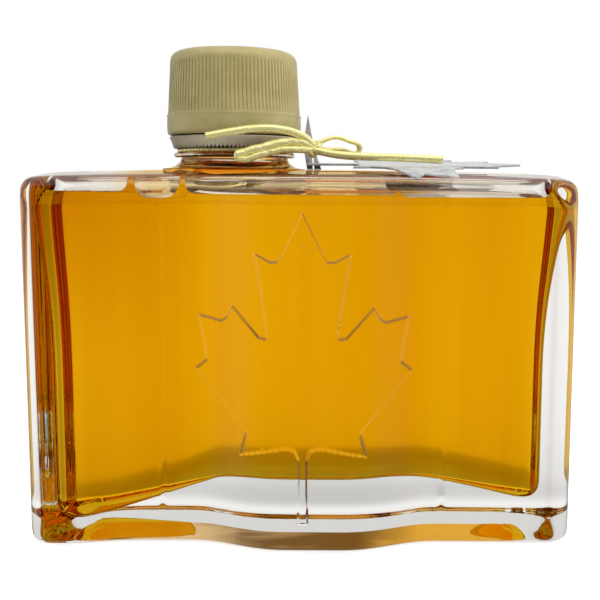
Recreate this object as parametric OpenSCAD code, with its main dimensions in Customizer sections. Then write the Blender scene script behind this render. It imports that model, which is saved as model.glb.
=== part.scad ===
// Clear glass syrup bottle, flat and waved like a flag, with a leaf in low relief,
// a knurled screw cap with its tamper ring, a card leaf tag and a tied elastic bow.
// Millimetres, +Z up, front face towards -Y, origin under the middle of the base.

/* [Glass body] */
// Width of the flat glass body
body_w = 122.5; // [110:0.5:170]
// Height of the shoulders above the base
body_h = 82.8; // [70:0.1:110]
// Thickness of the body from front face to back face
body_t = 38; // [34:1:50]
// Radius of the upright corners of the body, seen from above
corner_r = 9; // [6:0.5:12]
// Rounding along the top edges
top_round = 3; // [2:0.5:5]
// Rounding along the bottom edges
bottom_round = 2; // [1:0.5:4]
// How much the shoulders fall towards the two ends
crown = 1; // [0:0.1:3]
// Height of the shallow recess under the base
recess = 2; // [1:0.1:3]
// Width of the rim that the bottle stands on
stand_rim = 3.5; // [2.5:0.1:5]
// Width of the slope from the rim up to the recess
recess_slope = 9; // [6:0.5:11]

/* [Wave of the faces] */
// How far the middle fold stands forward
fold_out = 5.9; // [0:0.1:8]
// Place of the fold's crest along the width
fold_x = 2.8; // [-10:0.1:10]
// Half of the flat crest
fold_flat = 6.5; // [3:0.5:10]
// Length of each slope beside the crest
fold_slope = 20.5; // [14:0.5:26]
// How far the left end curls forward
curl_out = 2.2; // [0:0.1:4]
// Length of the curled left end
curl_len = 22.5; // [16:0.5:34]

/* [Cavity] */
// Glass thickness of the front and back faces
face_wall = 4; // [2.5:0.1:5]
// Glass thickness of the left end
left_wall = 6; // [3:0.1:9]
// Glass thickness of the right end
right_wall = 7.2; // [3:0.1:9]
// Glass thickness of the shoulders
roof_wall = 2.2; // [2:0.1:4]
// Rounding of the cavity's own corners
cavity_round = 3; // [1:0.5:4]
// Height of the cavity floor on its arch
floor_mid = 15.2; // [13:0.1:17]
// Fall of the floor to the left end
floor_drop_left = 10.6; // [0:0.1:11]
// Fall of the floor towards the right end
floor_drop_right = 8.2; // [0:0.1:9]

/* [Neck] */
// Place of the neck's axis along the width
neck_x = -16; // [-30:1:20]
// Place of the neck's axis along the depth
neck_y = -1; // [-2:0.5:1]
// Outer radius of the neck inside the cap
neck_r = 12.2; // [11:0.1:14]
// Radius of the pouring bore
bore_r = 9.8; // [7:0.1:10]
// Height of the glass transfer bead above the shoulders
bead_lift = 2.6; // [1.5:0.1:4]
// How far the transfer bead stands out from the neck
bead_out = 1.6; // [1:0.1:2]
// Thickness of the transfer bead
bead_t = 1.1; // [1:0.1:2]

/* [Syrup] */
// Height of the syrup's surface below the shoulders
ullage = 5.3; // [4:0.1:30]

/* [Cap] */
// Height of the cap from its lower rim to its top
cap_h = 18.6; // [15:0.1:22]
// Wall and top thickness of the cap
cap_wall = 1.4; // [1:0.1:2]
// Clearance between the neck and the inside of the cap
cap_gap = 1.3; // [0.8:0.1:1.6]
// Rounding of the cap's top edge
cap_round = 2.2; // [1:0.1:3]
// Height of the plain band under the knurls
cap_band_h = 4.2; // [3:0.1:6]
// Number of knurls around the cap
knurls = 104; // [60:1:120]
// Depth of the grooves between the knurls
knurl_depth = 0.3; // [0.1:0.05:0.4]

/* [Tamper ring] */
// Height of the tamper ring
ring_h = 2.6; // [2:0.1:4]
// How much the ring narrows towards its lower edge
ring_taper = 0.9; // [0:0.1:1.2]
// Break line between the ring and the cap
break_gap = 0.3; // [0.2:0.05:0.5]
// Clearance of the ring above the elastic that circles the neck
ring_lift = 0.1; // [0.05:0.05:0.6]

/* [Leaf relief] */
// How far the leaf stands proud of the front face
relief = 0.5; // [0.3:0.1:1]
// Place of the leaf's stem along the width
leaf_x = 0.9; // [-10:0.1:10]
// Height of the leaf's tip above the base
leaf_top = 74.3; // [60:0.1:76]
// Height of the foot of the leaf's stem above the base
stem_foot = 6.5; // [4:0.1:10]
// Width of the leaf over its outer points
leaf_w = 47.5; // [36:0.5:56]

/* [Tag and bow] */
// Thickness of the card leaf
card_t = 0.5; // [0.4:0.1:0.8]
// Length of the card leaf along the shoulder
card_len = 49; // [40:1:55]
// Width of the card leaf across the shoulder
card_w = 42; // [34:1:48]
// Height of the card point that stands beside the cap
spike_h = 12.6; // [8:0.1:16]
// Diameter of the elastic
elastic_d = 1.5; // [1:0.1:2]
// Diameter of the elastic where it is stretched around the neck
neck_cord_d = 0.9; // [0.6:0.1:1.4]
// Diameter of the knot
knot_d = 4.4; // [3:0.1:6]

/* [Hidden] */

half_t = body_t / 2;
bead_z = body_h + bead_lift;
cord_z = bead_z + bead_t + neck_cord_d / 2;
ring_z = cord_z + neck_cord_d / 2 + ring_lift;
cap_z = ring_z + ring_h + break_gap;
cap_top = cap_z + cap_h;
cap_in_r = neck_r + cap_gap;
cap_r = cap_in_r + cap_wall + 0.3;
neck_top = cap_top - cap_wall - cap_round / 2;
syrup_z = body_h - ullage;
flare_r = 4.2;
card_gap = 0.1;

// Steps of a rounded edge, of an upright corner and along a long face.
edge_steps = 4;
corner_steps = 4;
face_steps = 26;

// Smooth step from 0 to 1.
function ramp(t) = t <= 0 ? 0 : t >= 1 ? 1 : (1 - cos(180 * t)) / 2;

// How far both faces stand forward at x.
function wave(x) =
    fold_out * ramp((fold_flat + fold_slope - abs(x - fold_x)) / fold_slope)
    + curl_out * ramp((-x - (body_w / 2 - curl_len)) / (curl_len - corner_r));

// Height of the shoulders and of the cavity floor at x.
function shoulder(x) = body_h - crown * pow(abs(2 * x / body_w), 4);
function cavity_floor(x) =
    floor_mid
    - floor_drop_left * ramp((-x - 0.072 * body_w) / (0.393 * body_w))
    - floor_drop_right * ramp((x - 0.151 * body_w) / (0.446 * body_w));

// Outline of a rounded slab from x0 to x1, half thick ht, bent along the wave.
function corner(cx, cy, r, from) =
    [for (i = [0 : corner_steps]) let (a = from + 90 * i / corner_steps)
        [cx + r * cos(a), cy + r * sin(a)]];
function run(x0, x1, y) =
    [for (i = [1 : face_steps - 1]) [x0 + (x1 - x0) * i / face_steps, y]];
function outline(x0, x1, ht, r) =
    let (flat = concat(
        corner(x0 + r, r - ht, r, 180), run(x0 + r, x1 - r, -ht), corner(x1 - r, r - ht, r, 270),
        corner(x1 - r, ht - r, r, 0), run(x1 - r, x0 + r, ht), corner(x0 + r, ht - r, r, 90)))
    [for (p = flat) [p[0], p[1] - wave(p[0])]];

// Rounded edges as pairs of inset and rise, from the flat end towards the wall.
function edge(r) =
    [for (i = [0 : edge_steps]) let (a = 90 * i / edge_steps) [r * (1 - sin(a)), r * (1 - cos(a))]];

// Height at x of one of the surfaces that rings are measured from.
function level(surface, x) =
    surface == "floor" ? cavity_floor(x)
    : surface == "roof" ? shoulder(x) - roof_wall
    : surface == "shoulder" ? shoulder(x)
    : 0;

// Closed solid through rings, from the lowest to the highest. Each ring is the slab's
// outline with its own inset, at a lift above one of the surfaces.
module loft(x0, x1, ht, r, rings) {
    n = len(outline(x0, x1, ht, r));
    points = [for (g = rings)
        for (p = outline(x0 + g[0], x1 - g[0], ht - g[0], max(r - g[0], 1)))
            [p[0], p[1], level(g[1], p[0]) + g[2]]];
    last = len(rings) - 1;
    sides = [for (k = [0 : last - 1]) for (i = [0 : n - 1])
        let (a = k * n + i, b = k * n + (i + 1) % n)
        each [[a, a + n, b], [b, a + n, b + n]]];
    low_cap = [for (i = [0 : n / 2 - 2]) each [[i, i + 1, n - 1 - i], [i + 1, n - 2 - i, n - 1 - i]]];
    high_cap = [for (f = low_cap) [f[0] + last * n, f[2] + last * n, f[1] + last * n]];
    polyhedron(points, concat(sides, low_cap, high_cap), convexity = 8);
}

// Rings of a slab with both ends rounded.
function rounded(low, low_round, high, high_round) =
    concat(
        [for (e = edge(low_round)) [e[0], low, e[1]]],
        [for (i = [edge_steps : -1 : 0]) let (e = edge(high_round)[i]) [e[0], high, -e[1]]]);

module body_outer() {
    loft(-body_w / 2, body_w / 2, half_t, corner_r,
        rounded("ground", bottom_round, "shoulder", top_round));
}

module base_recess() {
    loft(-body_w / 2, body_w / 2, half_t, corner_r,
        [[stand_rim, "ground", -1], [stand_rim, "ground", 0], [stand_rim + recess_slope, "ground", recess]]);
}

module cavity() {
    loft(left_wall - body_w / 2, body_w / 2 - right_wall, half_t - face_wall,
        corner_r - face_wall / 2, rounded("floor", cavity_round, "roof", cavity_round));
}

// Half of a broad leaf with pointed lobes: share of the half width, share of the height.
leaf_half = [
    [0, 1], [0.18, 0.86], [0.25, 0.845], [0.30, 0.85], [0.44, 0.872],
    [0.335, 0.62], [0.345, 0.6], [0.39, 0.605], [0.635, 0.704], [0.705, 0.66], [0.745, 0.653],
    [0.966, 0.67], [0.892, 0.524], [1, 0.492], [0.528, 0.298], [0.587, 0.217], [0.16, 0.247],
    [0.07, 0.235], [0.045, 0.21], [0.053, 0]
];
function leaf(w, h) = concat(
    [for (p = leaf_half) [p[0] * w / 2, p[1] * h]],
    [for (i = [len(leaf_half) - 1 : -1 : 1]) [-leaf_half[i][0] * w / 2, leaf_half[i][1] * h]]);

module leaf_relief() {
    intersection() {
        translate([0, -relief, 0]) body_outer();
        translate([leaf_x, -half_t / 2, stem_foot])
            rotate([90, 0, 0]) linear_extrude(body_t) polygon(leaf(leaf_w, leaf_top - stem_foot));
    }
}

// Neck with its transfer bead and the flare down to the shoulders.
module neck() {
    flare = [for (i = [0 : 5]) let (a = 90 * i / 5)
        [neck_r + flare_r * (1 - cos(a)), body_h + 0.2 + (bead_lift - 0.2) * (1 - sin(a))]];
    translate([neck_x, neck_y, 0]) rotate_extrude($fn = 96)
        polygon(concat(
            [[0, body_h - roof_wall - 2], [neck_r + flare_r, body_h - roof_wall - 2],
             [neck_r + flare_r, body_h + 0.1]],
            [for (i = [5 : -1 : 0]) flare[i]],
            [[neck_r, bead_z], [neck_r + bead_out - 0.4, bead_z],
             [neck_r + bead_out, bead_z + 0.4], [neck_r + bead_out, bead_z + bead_t - 0.4],
             [neck_r + bead_out - 0.4, bead_z + bead_t], [neck_r, bead_z + bead_t],
             [neck_r, neck_top], [0, neck_top]]));
}

module bottle() {
    color("lightyellow", 0.4) difference() {
        union() {
            body_outer();
            leaf_relief();
            neck();
        }
        cavity();
        base_recess();
        translate([neck_x, neck_y, body_h - roof_wall - 3])
            cylinder(r = bore_r, h = neck_top - body_h + roof_wall + 4, $fn = 64);
    }
}

module syrup() {
    color("orange") intersection() {
        cavity();
        translate([-body_w, -body_w, 0]) cube([2 * body_w, 2 * body_w, syrup_z]);
    }
}

// Knurled cap: a drafted shell with a rounded top, straight knurls and a plain band.
module cap() {
    band_top = cap_z + cap_band_h;
    knurl_r = cap_r - 0.4;
    lip_r = knurl_r + 0.05;
    knurl_top = cap_top - cap_round;
    pitch = 360 / knurls;
    color([0.61, 0.57, 0.40]) translate([neck_x, neck_y, 0]) difference() {
        union() {
            rotate_extrude($fn = 128) polygon(concat(
                [[0, cap_z], [cap_r - 0.4, cap_z], [cap_r, cap_z + 0.6], [cap_r, band_top - 0.5],
                 [cap_r - 0.3, band_top], [0, band_top]]));
            translate([0, 0, band_top]) linear_extrude(knurl_top - band_top)
                polygon([for (i = [0 : knurls - 1]) each [
                    for (s = [[0, 0], [0.22, 1], [0.5, 1], [0.72, 0]])
                        let (r = knurl_r - knurl_depth * s[1], a = (i + s[0]) * pitch)
                            [r * cos(a), r * sin(a)]]]);
            translate([0, 0, knurl_top]) rotate_extrude($fn = 128) polygon(concat(
                [[0, 0]],
                [for (a = [0 : 15 : 90]) [lip_r - cap_round * (1 - cos(a)), cap_round * sin(a)]],
                [[0, cap_round]]));
        }
        translate([0, 0, cap_z - 1])
            cylinder(r = cap_in_r, h = neck_top - cap_z + 1, $fn = 96);
    }
}

// Tamper ring: narrows downwards and stays just clear of the neck and the cap.
module tamper_ring() {
    bore = neck_r + 0.4;
    color([0.60, 0.57, 0.48]) translate([neck_x, neck_y, ring_z]) rotate_extrude($fn = 128)
        polygon([[bore, 0], [cap_r - 0.5 - ring_taper, 0], [cap_r - 0.5, ring_h], [bore, ring_h]]);
}

// Sheet that rests on the shoulder's front edge, droops over it and rises to the back.
module shoulder_sheet(x0, x1, t) {
    edge_y = half_t - top_round;
    under = [[-edge_y - 9, -3.4], [-edge_y - 4.5, -1.2], [-edge_y - 2, -0.3], [-edge_y, 0],
        [-edge_y + 8, 0.4], [0, 1.2], [edge_y, 2.6], [edge_y + 8, 3.2]];
    translate([x0, 0, body_h + card_gap]) rotate([90, 0, 90]) linear_extrude(x1 - x0)
        polygon(concat(under, [for (i = [len(under) - 1 : -1 : 0]) under[i] + [0, t]]));
}

module tag() {
    card_x = neck_x + neck_r + flare_r + 0.3;
    card_y = neck_y - 1;
    tip_x = card_x + card_len;
    color([0.80, 0.80, 0.77]) {
        intersection() {
            translate([card_x, card_y, body_h - half_t])
                rotate([0, 0, -90]) linear_extrude(body_t) polygon(leaf(card_w, card_len));
            shoulder_sheet(card_x - 1, tip_x + 1, card_t);
        }
        translate([card_x, card_y + card_t / 2, body_h + card_gap])
            rotate([90, 0, 0]) linear_extrude(card_t)
                polygon([[0, 0], [3.4, 0], [1.6, 5], [0.2, spike_h], [-0.9, 5.5]]);
    }
}

// The elastic: circles the neck under the tamper ring, is knotted beside the cap and
// tied in a bow. Routes start from the knot's centre.
knot = [neck_x + cap_r + 3.3, neck_y - cap_r + 4.2, cord_z + 0.6];
upper_tail = [[-0.3, -0.3, 0.6], [-1.2, -1.2, 1.7], [-3.6, -3, 2.9], [-7.5, -4.6, 3.7], [-12, -5.6, 3.7],
    [-17, -6, 3], [-22.4, -6, 2]];
lower_loop = [[-0.5, -0.4, -0.4], [-2.2, -1.8, -0.5], [-6, -3.6, -0.5], [-11, -5.2, -1.7], [-15, -6.1, -2.7],
    [-15.8, -6.6, -2], [-14.4, -6.2, -1.3], [-10.6, -5.4, -0.2], [-6, -3.9, 1], [-2.2, -1.8, 1],
    [-0.6, -0.5, 0.3]];
right_loop = [[0.5, 0.1, 0.4], [1.8, -0.2, 1.2], [4.7, 0.2, 2.2], [7.8, 1.2, 1.5], [10.2, 3, 0.2],
    [9.8, 3.4, -0.8], [6.4, 1.8, -0.4], [2.2, 0.6, -0.3], [0.6, 0.3, -0.2]];
right_tail = [[0.4, -0.4, -0.5], [1.8, -0.9, -0.9], [5, -1, -1.5], [10, -1.2, -1.8], [18, -0.8, -1.8],
    [28.4, 0, -2.1]];

// Smooth route through the points, and a round tube swept along a route.
function bend_at(p, i) = p[max(0, min(len(p) - 1, i))];
function smooth(p, n) = [for (i = [0 : len(p) - 2]) for (k = [0 : n - (i == len(p) - 2 ? 0 : 1)])
    let (t = k / n, a = bend_at(p, i - 1), b = p[i], c = p[i + 1], d = bend_at(p, i + 2))
    0.5 * (2 * b + (c - a) * t + (2 * a - 5 * b + 4 * c - d) * t * t
        + (3 * b - a - 3 * c + d) * t * t * t)];
function unit(v) = v / norm(v);
module tube(route, r, sides = 6, closed = false) {
    last = len(route) - 1;
    function at(i) = closed ? route[(i + last + 1) % (last + 1)] : bend_at(route, i);
    points = [for (i = [0 : last])
        let (t = unit(at(i + 1) - at(i - 1)),
             u = unit(cross(t, [0.1, 0.3, 1])), v = cross(u, t))
        for (k = [0 : sides - 1])
            let (a = 360 * k / sides) route[i] + r * (cos(a) * u + sin(a) * v)];
    skin = [for (i = [0 : closed ? last : last - 1]) for (k = [0 : sides - 1])
        let (a = i * sides + k, b = i * sides + (k + 1) % sides,
             c = (a + sides) % len(points), d = (b + sides) % len(points))
        each [[a, b, c], [b, d, c]]];
    ends = closed ? [] : [[for (k = [sides - 1 : -1 : 0]) k],
        [for (k = [0 : sides - 1]) last * sides + k]];
    polyhedron(points, concat(skin, ends));
}

module bow() {
    loop_r = neck_r + neck_cord_d / 2;
    axis = [neck_x, neck_y, cord_z];
    to_knot = knot - axis;
    aim = atan2(to_knot[1], to_knot[0]);
    spread = acos(loop_r / norm([to_knot[0], to_knot[1]]));
    color([0.85, 0.78, 0.40]) {
        tube([for (a = [0 : 10 : 350]) axis + loop_r * [cos(a), sin(a), 0]],
            neck_cord_d / 2, closed = true);
        for (s = [-1, 1]) {
            a = aim + s * spread;
            leave = axis + loop_r * [cos(a), sin(a), 0];
            level = leave + 0.6 * ([knot[0], knot[1], cord_z] - leave);
            tube([leave, level, knot], neck_cord_d / 2);
        }
        for (route = [upper_tail, lower_loop, right_loop, right_tail])
            translate(knot) tube(smooth(route, 2), elastic_d / 2);
        translate(knot) sphere(d = knot_d, $fn = 12);
    }
}

bottle();
syrup();
cap();
tamper_ring();
tag();
bow();
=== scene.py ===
"""Looks of a flat, waved glass bottle of syrup with its cap, leaf tag and elastic bow.

Every object is in metres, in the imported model's own frame: +X along the width, +Y from the
front to the back and +Z up.
"""

from __future__ import annotations

import logging
import math
from dataclasses import dataclass, field
from enum import Enum
from typing import Callable, Iterable, Sequence

import bmesh
import bpy
import numpy as np
from mathutils import Matrix, Vector


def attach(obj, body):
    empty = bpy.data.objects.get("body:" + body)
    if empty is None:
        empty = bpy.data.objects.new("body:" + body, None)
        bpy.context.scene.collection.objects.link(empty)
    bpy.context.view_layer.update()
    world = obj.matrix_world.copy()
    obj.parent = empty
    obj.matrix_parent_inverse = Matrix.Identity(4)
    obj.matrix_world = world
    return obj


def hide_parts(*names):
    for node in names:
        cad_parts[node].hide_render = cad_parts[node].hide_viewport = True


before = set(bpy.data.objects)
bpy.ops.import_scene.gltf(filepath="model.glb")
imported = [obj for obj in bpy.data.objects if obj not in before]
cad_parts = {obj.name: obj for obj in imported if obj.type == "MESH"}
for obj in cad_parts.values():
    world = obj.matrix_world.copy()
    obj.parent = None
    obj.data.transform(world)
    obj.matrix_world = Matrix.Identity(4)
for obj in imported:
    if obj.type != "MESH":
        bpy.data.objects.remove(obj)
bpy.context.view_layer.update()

MM = 0.001
LOG = logging.getLogger("syrup_bottle")

Rule = Callable[[Vector], bool]
Weigh = Callable[[Vector], float]
Ring = tuple[float, float]
Point = tuple[float, float, float]


def ramp(t: float) -> float:
    """Smooth step from 0 to 1.

    Args:
        t: the way along the step, held between 0 and 1.

    Returns:
        The step's height.
    """
    t = min(max(t, 0.0), 1.0)
    return (1 - math.cos(math.pi * t)) / 2


class Kind(Enum):
    """What the picks of a bench select."""

    POINT = "VERT"
    EDGE = "EDGE"
    FACE = "FACE"


class Bench:
    """Edit mode on one mesh, with its parts picked by their place."""

    def __init__(self, piece: bpy.types.Object) -> None:
        """Keeps the piece that is worked on."""
        self.piece = piece

    def __enter__(self) -> "Bench":
        """Makes the piece the only selected one and opens it."""
        take(self.piece)
        bpy.ops.object.mode_set(mode="EDIT")
        bpy.ops.mesh.select_mode(type="FACE")
        return self

    def __exit__(self, *_: object) -> None:
        """Closes the mesh again."""
        bpy.ops.object.mode_set(mode="OBJECT")

    def everything(self) -> None:
        """Selects the whole mesh."""
        bpy.ops.mesh.select_all(action="SELECT")

    def pick(self, rule: Rule, kind: Kind = Kind.FACE) -> None:
        """Selects what lies where the rule says.

        Args:
            rule: says yes or no for a point, an edge's middle or a face's middle.
            kind: whether points, edges or faces are tested.
        """
        bpy.ops.mesh.select_mode(type=kind.value)
        bpy.ops.mesh.select_all(action="DESELECT")
        mesh = bmesh.from_edit_mesh(self.piece.data)
        if kind is Kind.POINT:
            for v in mesh.verts:
                v.select_set(rule(v.co))
        elif kind is Kind.EDGE:
            for e in mesh.edges:
                e.select_set(rule((e.verts[0].co + e.verts[1].co) / 2))
        else:
            for f in mesh.faces:
                f.select_set(rule(f.calc_center_median()))
        mesh.select_flush_mode()
        bmesh.update_edit_mesh(self.piece.data)

    def cut(self, axis: int, places: Iterable[float]) -> None:
        """Cuts the whole mesh by planes across one axis.

        Args:
            axis: 0, 1 or 2 for X, Y or Z.
            places: where along the axis each plane lies.
        """
        normal = [0.0, 0.0, 0.0]
        normal[axis] = 1.0
        for place in places:
            self.everything()
            bpy.ops.mesh.bisect(plane_co=[place * n for n in normal], plane_no=normal)

    def bevel(self, width: float, steps: int) -> None:
        """Rounds the picked edges."""
        bpy.ops.mesh.bevel(offset=width, segments=steps, profile=0.5)

    def grow(self, lift: float, scale: float, centre: Point) -> None:
        """Extrudes the picked face upwards and scales its new ring about an upright axis."""
        bpy.ops.mesh.extrude_region_move(TRANSFORM_OT_translate={"value": (0, 0, lift)})
        bpy.ops.transform.resize(value=(scale, scale, 1), center_override=centre)

    def outward(self) -> None:
        """Merges doubles and turns every face outwards."""
        self.everything()
        bpy.ops.mesh.remove_doubles(threshold=1e-6)
        bpy.ops.mesh.normals_make_consistent(inside=False)


def take(piece: bpy.types.Object) -> None:
    """Makes a piece the active one and the only one selected."""
    bpy.ops.object.select_all(action="DESELECT")
    piece.select_set(True)
    bpy.context.view_layer.objects.active = piece


def named(name: str) -> bpy.types.Object:
    """Names the object that an operator has just added, and its mesh.

    Args:
        name: the piece's name.

    Returns:
        The object.
    """
    piece = bpy.context.active_object
    piece.name = name
    piece.data.name = name
    return piece


def settle(piece: bpy.types.Object) -> None:
    """Puts a piece's place, turn and size into its mesh."""
    take(piece)
    bpy.ops.object.transform_apply(location=True, rotation=True, scale=True)


def finish_with(piece: bpy.types.Object, kind: str, **settings: object) -> None:
    """Adds a modifier with its settings and applies it.

    Args:
        piece: the mesh that it changes.
        kind: the modifier's type.
        settings: its properties by name.
    """
    take(piece)
    modifier = piece.modifiers.new(kind.title(), kind)
    for key, value in settings.items():
        setattr(modifier, key, value)
    bpy.ops.object.modifier_apply(modifier=modifier.name)


def push(piece: bpy.types.Object, axis: str, amount: float, weigh: Weigh) -> None:
    """Moves points along one axis by a share of an amount.

    Args:
        piece: the mesh to shape.
        axis: "X", "Y" or "Z".
        amount: the full move, in metres.
        weigh: the share for each point, from 0 to 1.
    """
    group = piece.vertex_groups.new(name="push")
    for v in piece.data.vertices:
        share = weigh(v.co)
        if share > 0:
            group.add([v.index], min(share, 1.0), "REPLACE")
    finish_with(
        piece, "DISPLACE", direction=axis, strength=amount, mid_level=0.0, vertex_group=group.name
    )
    piece.vertex_groups.remove(piece.vertex_groups["push"])


def smooth(piece: bpy.types.Object, angle: float = 32.0) -> None:
    """Shades a piece smooth, with its hard edges kept.

    Args:
        piece: the mesh.
        angle: edges sharper than this many degrees stay hard.
    """
    take(piece)
    bpy.ops.object.shade_smooth_by_angle(angle=math.radians(angle))


def joined(name: str, pieces: Sequence[bpy.types.Object]) -> bpy.types.Object:
    """Joins several objects into one mesh.

    Args:
        name: the joined piece's name.
        pieces: the objects, which must all be meshes.

    Returns:
        The joined object.
    """
    take(pieces[0])
    for piece in pieces:
        piece.select_set(True)
    bpy.ops.object.join()
    return named(name)


def remove(piece: bpy.types.Object) -> None:
    """Deletes an object that has served as a tool."""
    bpy.data.objects.remove(piece, do_unlink=True)


def combine(piece: bpy.types.Object, tool: bpy.types.Object, how: str) -> None:
    """Adds, cuts away or keeps what a tool covers, and deletes the tool.

    Args:
        piece: the mesh that stays.
        tool: the mesh that shapes it.
        how: UNION, DIFFERENCE or INTERSECT.
    """
    finish_with(piece, "BOOLEAN", object=tool, operation=how, solver="MANIFOLD")
    remove(tool)


def turned(
    name: str, profile: Sequence[Ring], sides: int, centre: tuple[float, float]
) -> bpy.types.Object:
    """Turns a solid about an upright axis, ring by ring.

    Args:
        name: the piece's name.
        profile: (radius, height) of each ring, in order along the surface.
        sides: points around each ring.
        centre: the axis in plan.

    Returns:
        The closed solid.
    """
    (radius, height), rest = profile[0], profile[1:]
    bpy.ops.mesh.primitive_circle_add(
        vertices=sides, radius=radius, fill_type="NGON", location=(*centre, height)
    )
    piece = named(name)
    settle(piece)
    with Bench(piece) as bench:
        bench.everything()
        for next_radius, next_height in rest:
            bench.grow(next_height - height, next_radius / radius, (*centre, next_height))
            radius, height = next_radius, next_height
        bench.outward()
    return piece


def block(name: str, low: Point, high: Point) -> bpy.types.Object:
    """A plain box between two corners, as a start for a piece or a tool.

    Args:
        name: the box's name.
        low: its lowest corner.
        high: its highest corner.

    Returns:
        The box.
    """
    size = [b - a for a, b in zip(low, high)]
    middle = [(a + b) / 2 for a, b in zip(low, high)]
    bpy.ops.mesh.primitive_cube_add(size=1, location=middle)
    piece = named(name)
    piece.scale = size
    settle(piece)
    return piece


@dataclass
class Body:
    """Sizes of the glass body that several pieces share."""

    width: float = 122.5 * MM
    height: float = 82.8 * MM
    depth: float = 38 * MM
    corner: float = 9 * MM
    top_round: float = 3 * MM
    bottom_round: float = 2 * MM
    crown: float = 1 * MM
    fold_out: float = 5.9 * MM
    fold_x: float = 2.8 * MM
    fold_flat: float = 6.5 * MM
    fold_slope: float = 20.5 * MM
    curl_out: float = 2.2 * MM
    curl_len: float = 22.5 * MM
    floor_mid: float = 15.2 * MM
    floor_drop_left: float = 10.6 * MM
    floor_drop_right: float = 8.2 * MM
    floor_slopes: tuple[Ring, Ring] = ((0.072, 0.393), (0.151, 0.446))
    neck: tuple[float, float] = (-16 * MM, -1 * MM)
    neck_radius: float = 12.2 * MM

    def wave(self, x: float) -> float:
        """How far both faces stand forward at x.

        Args:
            x: the place along the width.

        Returns:
            The distance, in metres.
        """
        fold = ramp((self.fold_flat + self.fold_slope - abs(x - self.fold_x)) / self.fold_slope)
        start = self.width / 2 - self.curl_len
        curl = ramp((-x - start) / (self.curl_len - self.corner))
        return self.fold_out * fold + self.curl_out * curl

    def floor(self, x: float) -> float:
        """Height of the cavity's arched floor at x.

        Args:
            x: the place along the width.

        Returns:
            The height, in metres.
        """
        (left_start, left_len), (right_start, right_len) = self.floor_slopes
        left = ramp((-x / self.width - left_start) / left_len)
        right = ramp((x / self.width - right_start) / right_len)
        return self.floor_mid - self.floor_drop_left * left - self.floor_drop_right * right

    def fall(self, x: float) -> float:
        """Share of the crown by which the shoulders fall at x."""
        return abs(2 * x / self.width) ** 4

    def bend(self, piece: bpy.types.Object) -> None:
        """Gives a slab the wave of the faces and the fall of the shoulders.

        Args:
            piece: the slab, still straight.
        """
        push(piece, "Y", -self.fold_out, lambda p: self.wave(p.x) / self.fold_out)
        half = self.height / 2
        push(piece, "Z", -self.crown, lambda p: self.fall(p.x) * ramp((p.z - half) / half))


@dataclass(frozen=True)
class LeafShape:
    """A broad leaf with pointed lobes, as shares of its half width and of its height."""

    half: tuple[Ring, ...] = (
        (0, 1),
        (0.19, 0.862),
        (0.23, 0.843),
        (0.28, 0.842),
        (0.44, 0.872),
        (0.325, 0.62),
        (0.335, 0.603),
        (0.385, 0.607),
        (0.635, 0.704),
        (0.70, 0.663),
        (0.745, 0.653),
        (0.966, 0.67),
        (0.892, 0.524),
        (1, 0.492),
        (0.528, 0.298),
        (0.587, 0.217),
        (0.16, 0.247),
        (0.08, 0.24),
        (0.045, 0.21),
        (0.053, 0),
    )

    def outline(self, width: float, height: float) -> list[tuple[float, float]]:
        """Closed outline from the tip, with the stem's foot at the origin.

        Args:
            width: over the outer points.
            height: from the stem's foot to the tip.

        Returns:
            The outline's points, without repeating the first.
        """
        right = [(x * width / 2, y * height) for x, y in self.half]
        return right + [(-x, y) for x, y in reversed(right[1:])]

    def depth_inside(self, points: np.ndarray, width: float, height: float) -> np.ndarray:
        """Distance of flat points inside the outline, negative outside it.

        Args:
            points: an array of (across, up) pairs.
            width: over the outer points.
            height: from the stem's foot to the tip.

        Returns:
            One distance for each point, in metres.
        """
        shape = np.array(self.outline(width, height))
        ends = np.roll(shape, -1, axis=0)
        best = np.full(len(points), 1e9)
        inside = np.zeros(len(points), dtype=bool)
        for a, b in zip(shape, ends):
            along = b - a
            share = np.clip((points - a) @ along / (along @ along), 0, 1)
            gap = points - a - share[:, None] * along
            best = np.minimum(best, np.hypot(gap[:, 0], gap[:, 1]))
            crosses = (a[1] > points[:, 1]) != (b[1] > points[:, 1])
            if a[1] != b[1]:
                where = a[0] + (points[:, 1] - a[1]) / (b[1] - a[1]) * along[0]
                inside ^= crosses & (points[:, 0] < where)
        return np.where(inside, best, -best)


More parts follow.
